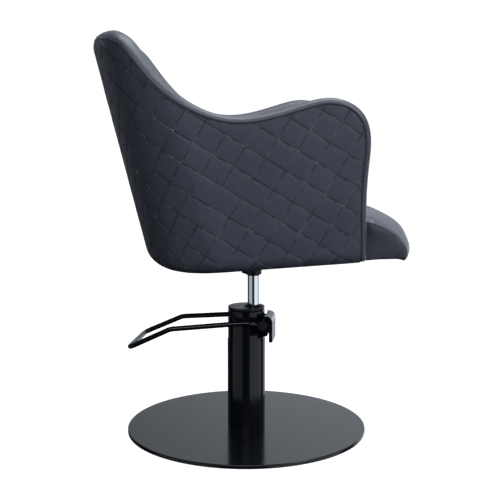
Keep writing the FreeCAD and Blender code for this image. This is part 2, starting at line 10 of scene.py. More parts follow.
import bpy
import numpy as np
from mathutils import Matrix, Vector


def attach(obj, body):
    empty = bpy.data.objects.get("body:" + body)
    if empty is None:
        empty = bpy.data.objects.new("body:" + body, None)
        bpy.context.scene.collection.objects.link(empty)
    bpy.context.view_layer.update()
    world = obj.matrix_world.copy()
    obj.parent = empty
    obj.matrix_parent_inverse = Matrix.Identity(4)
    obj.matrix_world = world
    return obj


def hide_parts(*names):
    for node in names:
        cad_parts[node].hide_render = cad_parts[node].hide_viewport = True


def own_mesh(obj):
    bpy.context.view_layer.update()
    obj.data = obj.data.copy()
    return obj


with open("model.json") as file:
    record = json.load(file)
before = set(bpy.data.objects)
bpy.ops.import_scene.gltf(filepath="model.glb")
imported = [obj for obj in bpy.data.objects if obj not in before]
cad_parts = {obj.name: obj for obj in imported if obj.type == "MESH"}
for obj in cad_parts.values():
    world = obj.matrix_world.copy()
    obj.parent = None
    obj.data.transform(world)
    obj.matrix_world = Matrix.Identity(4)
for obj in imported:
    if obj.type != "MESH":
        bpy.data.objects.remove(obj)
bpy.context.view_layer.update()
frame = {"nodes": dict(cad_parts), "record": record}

# ---- the tub's shape: the CAD model's, with its corners and its edge eased by a few mm ---------
LEAN = math.radians(13.8)
TUB_BACK = 0.1330            # y of the back, measured square to the leaning axis
TUB_DEPTH = 0.161            # how deep the rounded rear of the tub's section is
TUB_MIDDLE = TUB_BACK - TUB_DEPTH
TUB_POWER = 2.3              # power of the superellipse that the rear follows
HALF_LOW, HALF_LOW_T, FLARE = 0.255, 0.408, 0.1136      # half-width at this t, and its growth
HALF_MEAN = 0.2825           # half-width of the section that the leather's s is measured on
WALL = 0.050                 # thickness of the padded wall
SEAT_Z = 0.4188              # height of the tub's underside at the swivel axis
SEAT_TILT = math.radians(3.5)       # the underside rises towards the front by this
SEAT_SLOPE, SEAT_COS = math.tan(SEAT_TILT), math.cos(SEAT_TILT)
EDGE_R, REAR_CORNER_R = 0.025, 0.038    # the lower edge's radius, along the sides and the rear
HEM = 0.012                  # the cover runs on this far under the tub
# the edge from the front of an arm to the back, as (y, z) in millimetres
RIM = [(-221, 395), (-221, 470), (-218, 560), (-221, 640), (-223, 690), (-206, 742), (-150, 772),
       (-80, 761), (0, 739), (60, 735), (113, 748), (169, 781), (215, 822), (251, 862), (281, 891),
       (316, 905), (352, 908)]
# ---- the upholstery ----------------------------------------------------------------------------
CELL = 0.047                 # side of a quilted square
SEAM_D = 0.0125              # the band's outer seam, this far in from the edge along the arms
SEAM_D_BACK = 0.016          # and round the wings and the back
WING_T = (0.735, 0.850)      # between these heights the one turns into the other
CROWN_S = (0.15, 0.30)       # the crown of the back turns into the wings between these
ROLL_WIDE = (0.0174, 0.0370)    # the edge is rounded over this far in, on the arms and the crown
ROLL_DEEP = (0.0105, 0.0350)    # and from this far down
WING_ROLL = 0.35             # share of the crown's larger roll that the wings have
BAND_IN = 0.026              # the band's inner seam, down the inner face
RIM_STEP, RIM_PASSES = 0.005, 6     # step of the edge line, and how often it is evened out
TRIM_PASSES = 6              # how often stray points are pulled nearer to the outline
CHUNK = 4000                 # points whose distance to the edge is found at a time
STITCH_PITCH = 0.0042
STITCH_LEN = 0.0029
THREAD_R = 0.00048


# ---- small helpers -----------------------------------------------------------------------------
def smooth(x, low, high):
    """0 below low, 1 above high, and an even ramp between them."""
    u = np.clip((np.asarray(x, float) - low) / (high - low), 0, 1)
    return u * u * (3 - 2 * u)


def cubic(points, per_span=24):
    """A smooth curve through points: a cubic spline over chord length with free ends."""
    p = np.array(points, float)
    h = np.linalg.norm(np.diff(p, axis=0), axis=1)
    n = len(p)
    a = np.eye(n)
    r = np.zeros_like(p)
    for i in range(1, n - 1):
        a[i, i - 1:i + 2] = h[i - 1], 2 * (h[i - 1] + h[i]), h[i]
        r[i] = 6 * ((p[i + 1] - p[i]) / h[i] - (p[i] - p[i - 1]) / h[i - 1])
    m = np.linalg.solve(a, r)
    out = []
    for i in range(n - 1):
        u = np.linspace(0, h[i], per_span, endpoint=False)[:, None]
        v = h[i] - u
        out.append((m[i] * v ** 3 + m[i + 1] * u ** 3) / (6 * h[i])
                   + (p[i] / h[i] - m[i] * h[i] / 6) * v + (p[i + 1] / h[i] - m[i + 1] * h[i] / 6) * u)
    return np.vstack(out + [p[-1:]])


def even_steps(points, step):
    """The same line with points at equal steps."""
    gone = np.r_[0, np.cumsum(np.linalg.norm(np.diff(points, axis=0), axis=1))]
    at = np.linspace(0, gone[-1], int(round(gone[-1] / step)) + 1)
    return np.column_stack([np.interp(at, gone, points[:, k]) for k in range(points.shape[1])])


def unit(v):
    return v / np.maximum(np.linalg.norm(v, axis=-1, keepdims=True), 1e-12)


def new_piece(name, verts, faces, material_, body):
    mesh = bpy.data.meshes.new(name)
    mesh.from_pydata([tuple(v) for v in verts], [], [tuple(map(int, f)) for f in faces])
    mesh.validate()
    obj = bpy.data.objects.new(name, mesh)
    bpy.context.scene.collection.objects.link(obj)
    mesh.polygons.foreach_set("use_smooth", [True] * len(mesh.polygons))
    mesh.materials.append(material_)
    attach(obj, body)
    return obj


def solidify(obj, thickness):
    """Gives the surface a thickness, on the side away from its normals."""
    grow = obj.modifiers.new("thickness", "SOLIDIFY")
    grow.thickness = thickness
    grow.offset = -1


def add_painted_groove_shade(obj, values):
    """Painted shade for each point of the mesh: 1 at the bottom of a stitched groove or seam, where
    the leather's colour is darkened to stand for shade.
    """
    shade = obj.data.attributes.new("groove_and_painted_shade", "FLOAT", "POINT")
    shade.data.foreach_set("value", np.asarray(values, np.float32))


# ---- the tub's surface -------------------------------------------------------------------------
ANGLE = np.linspace(math.pi / 2, 0, 3000)
ACROSS = np.cos(ANGLE) ** (2 / TUB_POWER)
ACROSS[0] = 0.0
REAR = np.sin(ANGLE) ** (2 / TUB_POWER)
ARC = np.r_[0, np.cumsum(np.hypot(np.diff(ACROSS * HALF_MEAN), np.diff(REAR * TUB_DEPTH)))]
CORNER_S = ARC[-1]           # the straight sides start this far round


def section(s):
    """Where s is on the section: share across, share of the rear depth, length along the side."""
    a = np.abs(s)
    return (np.copysign(np.interp(a, ARC, ACROSS), s), np.interp(a, ARC, REAR),
            np.maximum(a - CORNER_S, 0))


def level_t(q, height):
    """t of the point over q that is this high over the tub's underside."""
    return ((SEAT_Z + height / SEAT_COS + q * (math.sin(LEAN) - SEAT_SLOPE * math.cos(LEAN)))
            / (math.cos(LEAN) + SEAT_SLOPE * math.sin(LEAN)))


def tub(s, t, inset):
    """Points of the face that lies this deep in the tub's wall."""
    across, rear, forward = section(s)
    q = TUB_MIDDLE + rear * (TUB_DEPTH - inset) - forward
    x = across * (HALF_LOW + FLARE * (t - HALF_LOW_T) - inset)
    return np.column_stack([x, q * math.cos(LEAN) + t * math.sin(LEAN),
                            -q * math.sin(LEAN) + t * math.cos(LEAN)])


def corner_radius(s):
    sine = np.interp(np.abs(s), ARC, np.sin(ANGLE))
    return EDGE_R + (REAR_CORNER_R - EDGE_R) * sine ** 2


def bottom_start(s):
    """t where the wall starts to curl under."""
    rear, forward = section(s)[1:]
    return level_t(TUB_MIDDLE + rear * TUB_DEPTH - forward, corner_radius(s))


def curled(s, t, inset=0.0):
    """The outer face with its lower edge: below bottom_start the leather curls under the tub."""
    radius = corner_radius(s)
    gone = np.maximum(bottom_start(s) - t, 0)
    turn = np.minimum(gone / radius, math.pi / 2)
    inner = radius - inset
    height = radius - inner * np.sin(turn)
    drawn = radius - inner * np.cos(turn) + np.maximum(gone - radius * math.pi / 2, 0)
    rear, forward = section(s)[1:]
    q = TUB_MIDDLE + rear * (TUB_DEPTH - drawn) - forward
    return tub(s, np.where(gone > 0, level_t(q, height), t), drawn)


def bottom_end(s):
    """t where the hem ends, under the tub."""
    return bottom_start(s) - corner_radius(s) * math.pi / 2 - HEM


def rim_line():
    """The tub's edge on the leather, from the front of the -X arm round the back to the +X one."""
    y, z = (cubic(RIM) / 1000).T
    q = y * math.cos(LEAN) - z * math.sin(LEAN)
    t = y * math.sin(LEAN) + z * math.cos(LEAN)
    back_q = np.linspace(q[-1], TUB_MIDDLE + TUB_DEPTH, 60)[1:]
    back_t = (z[-1] + back_q * math.sin(LEAN)) / math.cos(LEAN)
    q, t = np.r_[q, back_q], np.r_[t, back_t]
    rear = np.clip((q - TUB_MIDDLE) / TUB_DEPTH, 0, 1)
    around = np.where(q > TUB_MIDDLE, np.interp(rear, REAR[::-1], ARC[::-1]),
                      CORNER_S + TUB_MIDDLE - q)
    half = np.column_stack([around, t])
    half[-1, 0] = 0.0
    line = np.vstack([half * (-1, 1), half[-2::-1]])
    line = even_steps(line, RIM_STEP)
    for _ in range(RIM_PASSES):
        line[1:-1] = (line[:-2] + 2 * line[1:-1] + line[2:]) / 4
    return even_steps(line, RIM_STEP)


RIM_LINE = rim_line()
RIM_ALONG = unit(np.gradient(RIM_LINE, axis=0))
RIM_OUT = np.column_stack([-RIM_ALONG[:, 1], RIM_ALONG[:, 0]])


def wing_share(t):
    """0 along the arms, 1 round the wings and the back."""
    return smooth(t, *WING_T)


def seam_depth(t):
    return SEAM_D + (SEAM_D_BACK - SEAM_D) * wing_share(t)


def roll(s, t):
    """The outer face rolls over into the edge by a quarter ellipse, this wide and this deep.

    The roll is tight along the arms, larger on the wings and largest at the top of the back.
    """
    share = wing_share(t) * (1 - (1 - WING_ROLL) * smooth(np.abs(s), *CROWN_S))
    return [small + (large - small) * share for small, large in (ROLL_WIDE, ROLL_DEEP)]


def roll_inset(depth, s, t):
    """How far the outer face has drawn in, this deep in from the edge."""
    wide, deep = roll(s, t)
    return wide * (1 - np.sqrt(1 - np.clip(1 - depth / deep, 0, 1) ** 2))


def rim_depth(s, t):
    """How far in from the tub's edge points of the leather are, the way out and the edge there."""
    p = np.column_stack([s, t])
    near = np.empty(len(p), int)
    for k in range(0, len(p), CHUNK):
        near[k:k + CHUNK] = ((p[k:k + CHUNK, None, :] - RIM_LINE[None]) ** 2).sum(2).argmin(1)
    out, edge = RIM_OUT[near], RIM_LINE[near]
    return ((edge - p) * out).sum(1), out, edge


def trimmed_grid(rows, columns, to_leather, depth, low_end):
    """A grid of leather, cut to lie depth(t) inside the tub's edge and above low_end(s).

    to_leather turns the grid's two coordinates into (s, t). Points of the cells that the outline
    crosses are pulled onto it, so the outline is clean.
    """
    a, b = [g.ravel() for g in np.meshgrid(rows, columns, indexing="ij")]
    s, t = to_leather(a, b)
    margin, _, edge = rim_depth(s, t)
    inside = (margin > depth(edge[:, 1])) & (t > low_end(s))
    n, m = len(rows), len(columns)
    keep = inside.reshape(n, m)
    cells = keep[:-1, :-1] | keep[1:, :-1] | keep[:-1, 1:] | keep[1:, 1:]
    i, j = np.nonzero(cells)
    faces = np.column_stack([i * m + j, (i + 1) * m + j, (i + 1) * m + j + 1, i * m + j + 1])
    used, faces = np.unique(faces, return_inverse=True)
    faces = faces.reshape(-1, 4)
    s, t, stray = s[used], t[used], ~inside[used]
    ss, tt = s[stray], t[stray]
    for _ in range(TRIM_PASSES):
        margin, out, edge = rim_depth(ss, tt)
        gap = np.maximum(depth(edge[:, 1]) - margin, 0)
        ss, tt = ss - out[:, 0] * gap, tt - out[:, 1] * gap
        tt = np.maximum(tt, low_end(ss))
    s[stray], t[stray] = ss, tt
    return s, t, faces


# ---- materials ---------------------------------------------------------------------------------
PAINTED_GROOVE_SHADE = 0.65          # share of the colour taken off as painted shade at the bottom of a stitched groove


def material(name, colour, roughness, **sockets):
    m = bpy.data.materials.new(name)
    m.use_nodes = True
    shader = m.node_tree.nodes["Principled BSDF"]
    shader.inputs["Base Color"].default_value = (*colour, 1)
    shader.inputs["Roughness"].default_value = roughness
    for key, value in sockets.items():
        shader.inputs[key.replace("_", " ")].default_value = value
    return m


class Nodes:
    """Short calls for the nodes of one material."""

    def __init__(self, m):
        self.tree = m.node_tree
        self.shader = self.tree.nodes["Principled BSDF"]
        self.place = self.tree.nodes.new("ShaderNodeTexCoord").outputs["Object"]

    def link(self, a, b):
        self.tree.links.new(a, b)

    def noise(self, scale, detail=3.0, rough=0.5, stretch=None):
        node = self.tree.nodes.new("ShaderNodeTexNoise")
        node.inputs["Scale"].default_value = scale
        node.inputs["Detail"].default_value = detail
        node.inputs["Roughness"].default_value = rough
        self.link(self.stretched(stretch), node.inputs["Vector"])
        return node.outputs["Fac"]

    def stretched(self, stretch):
        if stretch is None:
            return self.place
        node = self.tree.nodes.new("ShaderNodeMapping")
        node.inputs["Scale"].default_value = stretch
        self.link(self.place, node.inputs["Vector"])
        return node.outputs["Vector"]

    def cells(self, scale, feature="DISTANCE_TO_EDGE"):
        node = self.tree.nodes.new("ShaderNodeTexVoronoi")
        node.feature = feature
        node.inputs["Scale"].default_value = scale
        self.link(self.place, node.inputs["Vector"])
        return node.outputs["Distance"]

    def span(self, value, low, high, to_low, to_high):
        node = self.tree.nodes.new("ShaderNodeMapRange")
        for key, number in zip(("From Min", "From Max", "To Min", "To Max"),
                               (low, high, to_low, to_high)):
            node.inputs[key].default_value = number
        self.link(value, node.inputs["Value"])
        return node.outputs["Result"]

    def math(self, kind, a, b):
        node = self.tree.nodes.new("ShaderNodeMath")
        node.operation = kind
        for socket, value in zip(node.inputs, (a, b)):
            if isinstance(value, float):
                socket.default_value = value
            else:
                self.link(value, socket)
        return node.outputs[0]

    def blend(self, factor, low, high):
        node = self.tree.nodes.new("ShaderNodeMix")
        node.data_type = "RGBA"
        node.inputs["A"].default_value = (*low, 1)
        node.inputs["B"].default_value = (*high, 1)
        self.link(factor, node.inputs["Factor"])
        return node.outputs["Result"]

    def mesh_value(self, name):
        node = self.tree.nodes.new("ShaderNodeAttribute")
        node.attribute_name = name
        return node.outputs["Fac"]

    def darken(self, colour, factor, share):
        """The colour, less this share of itself where the factor is 1."""
        node = self.tree.nodes.new("ShaderNodeMix")
        node.data_type = "RGBA"
        node.inputs["B"].default_value = (0, 0, 0, 1)
        self.link(self.math("MULTIPLY", factor, share), node.inputs["Factor"])
        self.link(colour, node.inputs["A"])
        return node.outputs["Result"]

    def bump(self, height, strength, distance, before=None):
        node = self.tree.nodes.new("ShaderNodeBump")
        node.inputs["Strength"].default_value = strength
        node.inputs["Distance"].default_value = distance
        self.link(height, node.inputs["Height"])
        if before is not None:
            self.link(before, node.inputs["Normal"])
        return node.outputs["Normal"]


def leather(name, dark, light, roughness=0.46):
    """Charcoal upholstery leather: fine pebbled grain, soft creases, uneven dye.

    Its colour is darkened as painted shade where its mesh's groove_and_painted_shade value is high, in
    the stitched grooves and seams.
    """
    m = material(name, light, roughness, Specular_IOR_Level=0.42)
    n = Nodes(m)
    patches = n.noise(9.0, 4.0, 0.6)
    mottle = n.noise(160.0, 3.0)
    shade = n.math("ADD", n.math("MULTIPLY", patches, 0.65), n.math("MULTIPLY", mottle, 0.35))
    colour = n.blend(n.span(shade, 0.36, 0.64, 0.0, 1.0), dark, light)
    # painted shade: the colour is darkened along the stitched grooves and seams
    colour = n.darken(colour, n.mesh_value("groove_and_painted_shade"), PAINTED_GROOVE_SHADE)
    n.link(colour, n.shader.inputs["Base Color"])
    n.link(n.span(mottle, 0.3, 0.7, roughness - 0.05, roughness + 0.07),
           n.shader.inputs["Roughness"])
    pebbles = n.span(n.cells(950.0), 0.0, 0.22, 0.0, 1.0)
    grain = n.bump(pebbles, 0.30, 0.00012)
    pores = n.bump(n.noise(2600.0, 2.0), 0.15, 0.00005, grain)
    n.link(n.bump(n.noise(38.0, 3.0, 0.55), 0.22, 0.0016, pores), n.shader.inputs["Normal"])
    return m


def thread(name, dark, light):
    """Waxed thread: mostly dark, with painted glints, lighter here and there."""
    m = material(name, dark, 0.5)
    n = Nodes(m)
    n.link(n.bump(n.noise(2200.0, 2.0), 0.5, 0.0001), n.shader.inputs["Normal"])
    # painted highlights: patches of the thread are coloured lighter to stand for glints
    n.link(n.blend(n.span(n.noise(42.0, 2.0), 0.46, 0.58, 0.0, 1.0), dark, light),
           n.shader.inputs["Base Color"])
    return m


def enamel(name, colour, roughness, ripple=0.03):
    """Stove enamel: a deep coat with a faint ripple and dust-fine unevenness."""
    m = material(name, colour, roughness, Specular_IOR_Level=0.3)
    n = Nodes(m)
    n.link(n.bump(n.noise(55.0, 2.0), ripple, 0.0006), n.shader.inputs["Normal"])
    n.link(n.span(n.noise(24.0, 5.0, 0.65), 0.35, 0.7, roughness * 0.75, roughness * 1.5),
           n.shader.inputs["Roughness"])
    n.link(n.blend(n.noise(7.0, 3.0), tuple(0.8 * c for c in colour), colour),
           n.shader.inputs["Base Color"])
    return m


def metal(name, colour, roughness, brushed=None, bump=0.05):
    """Bare or plated metal; brushed stretches its fine lines along one axis."""
    m = material(name, colour, roughness, Metallic=1.0)
    n = Nodes(m)
    lines = n.noise(420.0, 3.0, 0.6, brushed)
    n.link(n.span(lines, 0.3, 0.7, roughness * 0.7, roughness * 1.35), n.shader.inputs["Roughness"])
    n.link(n.bump(lines, bump, 0.0002), n.shader.inputs["Normal"])
    n.link(n.blend(n.noise(14.0, 4.0), tuple(0.86 * c for c in colour), colour),
           n.shader.inputs["Base Color"])
    return m


def rubber():
    """Plain black rubber, finely rough."""
    m = material("rubber_black", (0.018, 0.018, 0.019), 0.75)
    n = Nodes(m)
    n.link(n.bump(n.noise(900.0, 2.0), 0.3, 0.0001), n.shader.inputs["Normal"])
    return m


def plywood():
    """Birch plywood, stained nearly black, with its grain."""
    m = material("plywood_stained", (0.045, 0.038, 0.032), 0.6)
    n = Nodes(m)
    rings = n.noise(26.0, 5.0, 0.6, (1.0, 0.12, 1.0))
    n.link(n.blend(rings, (0.024, 0.021, 0.019), (0.060, 0.050, 0.042)),
           n.shader.inputs["Base Color"])
    n.link(n.bump(rings, 0.2, 0.0006), n.shader.inputs["Normal"])
    return m


def base_cloth():
    """Black non-woven cloth with its pressed dimples."""
    m = material("dust_cloth_black", (0.016, 0.016, 0.018), 0.9, Sheen_Weight=0.15)
    n = Nodes(m)
    dimples = n.cells(420.0, "F1")
    fibres = n.bump(n.noise(1500.0, 3.0), 0.35, 0.0001)
    n.link(n.bump(dimples, 0.5, 0.0003, fibres), n.shader.inputs["Normal"])
    return m


QUILT = leather("leather_quilted", (0.040, 0.043, 0.063), (0.050, 0.054, 0.076))
SMOOTH = leather("leather_smooth", (0.033, 0.035, 0.050), (0.042, 0.045, 0.061), 0.40)
# the light colour of each thread is its painted glint
THREAD = thread("thread_charcoal_painted_glints", (0.012, 0.013, 0.018), (0.26, 0.27, 0.31))
THREAD_DARK = thread("thread_dark_painted_glints", (0.012, 0.013, 0.018), (0.085, 0.088, 0.105))
GLOSS = enamel("enamel_gloss_black", (0.004, 0.005, 0.008), 0.13)
SATIN = enamel("enamel_satin_black", (0.012, 0.012, 0.013), 0.34, 0.06)
CHROME = metal("chrome_rod", (0.86, 0.87, 0.89), 0.05, (1.0, 1.0, 0.02), 0.02)
STEEL = metal("steel_ground", (0.58, 0.58, 0.6), 0.24, (1.0, 1.0, 0.05))
ZINC = metal("steel_zinc_plated", (0.62, 0.62, 0.6), 0.36)
BRONZE = metal("bronze_machined", (0.6, 0.4, 0.18), 0.3, (1.0, 1.0, 0.05))
RUBBER = rubber()
PLY = plywood()
CLOTH = base_cloth()
BY_SLOT = {"gloss_black": GLOSS, "satin_black_steel": SATIN, "rubber": RUBBER, "zinc_steel": ZINC,
           "black_hardware": SATIN, "ground_steel": STEEL, "bronze": BRONZE, "chrome": CHROME,
           "plywood": PLY, "dust_cloth": CLOTH, "frame_shell": PLY, "quilted_leather": QUILT,
           "smooth_leather": SMOOTH}


def paint_cad_nodes():
    for part in frame["record"]["subparts"]:
        obj = frame["nodes"][part["node"]]
        obj.data.materials.clear()
        obj.data.materials.append(BY_SLOT[part["material_slot"]])


# ---- quilted cover -----------------------------------------------------------------------------
QUILT_STEPS = (0.0, 0.0009, 0.0022, 0.0048, 0.0090, 0.0155, CELL / 2)   # rows beside a line
QUILT_ROWS = range(-7, 28)   # stitched lines that cross the cover, either way
PUFF, PUFF_POWER = 0.0007, 3.6      # a quilted square's height over its edges, and how flat it is
UNEVEN = (0.2, 37.0, 29.0)   # the squares' heights vary by this share, in waves this close
# the groove's depth and width, and the width of the painted shade along it
GROOVE, GROOVE_WIDTH, PAINTED_SHADE_WIDTH = 0.0004, 0.0010, 0.0012
COVER_T = 0.0015
COVER_TUCK = 0.0020          # the cover runs on this far under the band's seam
COVER_PROUD = 0.0003         # its edges stand this far out of the tub's plain outline
QUILT_STITCH_LIFT, STITCH_WAIST = 0.0004, 0.28


def quilt_lines():
    """Grid lines across the whole cover, close together beside each stitched line."""
    steps = list(QUILT_STEPS) + [CELL - x for x in QUILT_STEPS[-2:0:-1]]
    return np.array([k * CELL + x for k in QUILT_ROWS for x in steps])


def off_lines(s, t):
    """How far points are from the nearest stitched line of each way, in metres."""
    for across in ((s + t) / math.sqrt(2), (t - s) / math.sqrt(2)):
        yield np.abs(across - np.round(across / CELL) * CELL)


def groove_and_painted_shade(s, t, width):
    """1 on a stitched line, fading to 0 within about this width: the groove's depth, and the painted
    shade along it.
    """
    return np.maximum(*[np.exp(-(off / width) ** 2) for off in off_lines(s, t)])


def pillow(s, t):
    """Height of the padding over the base surface."""
    high = np.prod([1 - np.abs(1 - off * 2 / CELL) ** PUFF_POWER for off in off_lines(s, t)],
                   axis=0)
    depth, _, edge = rim_depth(s, t)
    inside = depth - seam_depth(edge[:, 1])
    plump = smooth(inside, 0.0, 0.02) * smooth(t - bottom_end(s), 0.004, 0.03)
    share, round_wave, up_wave = UNEVEN
    plump *= 1 - share + share * np.sin(s * round_wave + 1.3) * np.sin(t * up_wave)
    groove = GROOVE * groove_and_painted_shade(s, t, GROOVE_WIDTH) * smooth(inside, 0.001, 0.008)
    return PUFF * high * plump - groove


def cover_surface(s, t):
    """The quilted surface and its outward normals."""
    e = 0.0005
    depth, out, edge = rim_depth(s, t)

    def base(ds, dt):
        near = depth - ds * out[:, 0] - dt * out[:, 1]
        return curled(s + ds, t + dt, roll_inset(near, *edge.T))
    normal = unit(np.cross(base(0, e) - base(0, -e), base(e, 0) - base(-e, 0)))
    return base(0, 0) + normal * (pillow(s, t) + COVER_PROUD)[:, None], normal


def from_diagonals(a, b):
    return (a - b) / math.sqrt(2), (a + b) / math.sqrt(2)


def quilted_cover():
    """The leather round the outside, sewn through in squares that stand on their corners."""
    lines = quilt_lines()
    s, t, faces = trimmed_grid(lines, lines, from_diagonals,
                               lambda t: seam_depth(t) - COVER_TUCK, bottom_end)
    verts, _ = cover_surface(s, t)
    obj = new_piece("outer_cover_quilted", verts, faces[:, ::-1], QUILT, "seat")
    # painted shade along every stitched line
    add_painted_groove_shade(obj, groove_and_painted_shade(s, t, PAINTED_SHADE_WIDTH))
    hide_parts("outer_cover")
    solidify(obj, COVER_T)


def stitches(name, centres, along, normals, material_):
    """Rows of thread stitches: spindles with a square waist, each lying on the surface."""
    centres, along, normals = [np.vstack(rows) for rows in (centres, along, normals)]
    side = np.cross(along, normals)
    ring = [(0, 1), (1, 0), (0, -1), (-1, 0)]
    verts = [centres - along * STITCH_LEN / 2 - normals * THREAD_R]
    for place in (-STITCH_WAIST, STITCH_WAIST):
        for x, y in ring:
            verts.append(centres + along * STITCH_LEN * place
                         + (side * x + normals * y) * THREAD_R)
    verts.append(centres + along * STITCH_LEN / 2 - normals * THREAD_R)
    verts = np.stack(verts, 1)
    one = [(0, 1 + k, 1 + (k + 1) % 4) for k in range(4)]
    one += [(1 + k, 5 + k, 5 + (k + 1) % 4, 1 + (k + 1) % 4) for k in range(4)]
    one += [(5 + k, 9, 5 + (k + 1) % 4) for k in range(4)]
    faces = [tuple(10 * i + v for v in face) for i in range(len(centres)) for face in one]
    new_piece(name, verts.reshape(-1, 3), faces, material_, "seat")


def quilt_thread():
    """Every stitch of the quilting, along both ways of the diagonal grid."""
    run = np.arange(QUILT_ROWS[0] * CELL, QUILT_ROWS[-1] * CELL, STITCH_PITCH)
    centres, alongs, normals = [], [], []
    for way in (0, 1):
        for row in QUILT_ROWS:
            line = np.full(len(run), row * CELL)
            s, t = from_diagonals(line, run) if way == 0 else from_diagonals(run, line)
            depth, _, edge = rim_depth(s, t)
            on = (depth > seam_depth(edge[:, 1]) + 0.003) & (t > bottom_end(s) + 0.01)
            if on.sum() < 2:
                continue
            s, t = s[on], t[on]
            here, normal = cover_surface(s, t)
            ahead, _ = cover_surface(*[v + d * 0.001 for v, d in zip(
                (s, t), from_diagonals(float(way), 1.0 - way))])
            centres.append(here + normal * QUILT_STITCH_LIFT)
            alongs.append(unit(ahead - here))
            normals.append(normal)
    stitches("quilting_thread", centres, alongs, normals, THREAD)


# ---- rim band ----------------------------------------------------------------------------------
CROWN_DROP = 0.6             # the lean lifts the edge's inner side; it is lowered by this share
BAND_PROUD = 0.0014          # the band stands this far out of the tub's plain outline
BAND_RISE = 0.0010           # its middle line stands this far over the tub's edge
BAND_FLAT = 0.0020           # the nearly flat strip between its two roundings has this, or more
BAND_TOP = 0.0300            # its inner rounding starts at least this far in
BAND_INNER = 0.0515          # its inner face, this far in from the outer one
BAND_DOME, BAND_IN_RISE = 0.0014, 0.0012        # the strip's and the inner rounding's rise
BAND_TURNED = ((0.0065, 0.0080), (0.0022, 0.0025), (0.0, 0.0005))   # edge turned in at the seam
BAND_UNDER = ((0.0502, 0.0285), (0.0475, 0.0305), (0.0300, 0.0300))     # inner edge and underside
BAND_STITCH_LIFT = 0.0002
BAND_SHADE_OFF = (0.0, 0.0012, 0.0026, 0.0036, 0.0046)   # rows of its mesh beside the seam
BAND_PAINTED_SHADE = (1.0, 1.0, 1.0, 0.8, 0.4, 0.1, 0.4, 0.0)    # painted shade on its first rows, darkest at the seam
TOP_STITCH_OFF = (0.0035, 0.0085)   # rows of top stitching, this far from the outer seam


def band_arc(turn, s, t):
    """The band's outer face as (inset, depth): turn is 0 where it starts and pi/2 at the top."""
    wide, deep = roll(s, t)
    return (wide * (1 - math.cos(turn)) - BAND_PROUD, deep - (deep + BAND_RISE) * math.sin(turn))


def band_turn(off, s, t):
    """The turn at which the band's outer face is this far up from its outer seam."""
    deep = roll(s, t)[1]
    return math.asin((deep - seam_depth(t) + off) / (deep + BAND_RISE))


def band_profile(s, t):
    """The band's section as (inset, depth), from its outer seam over the edge to its inner one."""
    seam = seam_depth(t)
    start = roll_inset(seam, s, t)
    points = [(start + further, seam + deeper) for further, deeper in BAND_TURNED]
    for off in BAND_SHADE_OFF:
        points.append(band_arc(band_turn(off, s, t), s, t))
    last = band_turn(BAND_SHADE_OFF[-1], s, t)
    points += [band_arc(turn, s, t) for turn in np.linspace(last, math.pi / 2, 10)[1:]]
    wide = roll(s, t)[0]
    inner = max(wide + BAND_FLAT, BAND_TOP)
    points.append(((wide + inner) / 2, -BAND_DOME))
    for turn in np.linspace(math.pi / 2, 0, 12):
        points.append((inner + (BAND_INNER - inner) * math.cos(turn),
                       BAND_IN - (BAND_IN + BAND_IN_RISE) * math.sin(turn)))
    return np.array([*points, *BAND_UNDER])


def band_point(station, inset, depth):
    """Points of the band; near the floor of the tub its outer side rounds in like the cover's."""
    s, t = (RIM_LINE[station] - RIM_OUT[station] * np.reshape(depth, (-1, 1))).T
    rear, forward = section(s)[1:]
    t = t - CROWN_DROP * rear * inset * math.tan(LEAN)
    q = TUB_MIDDLE + rear * (TUB_DEPTH - inset) - forward
    height = np.clip((t - level_t(q, 0.0)) * SEAT_COS, 0.0, None)
    radius = corner_radius(s)
    low = np.clip(radius - height, 0, radius)
    drawn = radius - np.sqrt(radius ** 2 - low ** 2)
    inset = drawn + inset * (WALL - drawn) / WALL
    return tub(s, np.maximum(t, level_t(q, 0.0)), inset)


def band_stations():
    """Stations of the rim line that are over the tub's underside."""
    s, t = RIM_LINE.T
    rear, forward = section(s)[1:]
    over = t > level_t(TUB_MIDDLE + rear * TUB_DEPTH - forward, 0.0) + 0.001
    return np.nonzero(over)[0]


def rim_band():
    """The plain padded band over the whole edge, from one arm's front to the other's."""
    stations = band_stations()
    rings = []
    for k in stations:
        profile = band_profile(*RIM_LINE[k])
        rings.append(band_point(np.full(len(profile), k), profile[:, 0], profile[:, 1]))
    n, m = len(stations), len(rings[0])
    verts = np.vstack(rings)
    faces = []
    for i in range(n - 1):
        for j in range(m):
            jj = (j + 1) % m
            faces.append((i * m + j, i * m + jj, (i + 1) * m + jj, (i + 1) * m + j))
    faces.append(tuple(range(m))[::-1])
    faces.append(tuple(range((n - 1) * m, n * m)))
    obj = new_piece("rim_band_padded", verts, faces, SMOOTH, "seat")
    # painted shade: a dark line along the band's outer seam
    add_painted_groove_shade(obj, np.tile(BAND_PAINTED_SHADE + (0.0,) * (m - len(BAND_PAINTED_SHADE)), n))
    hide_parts("rim_band")


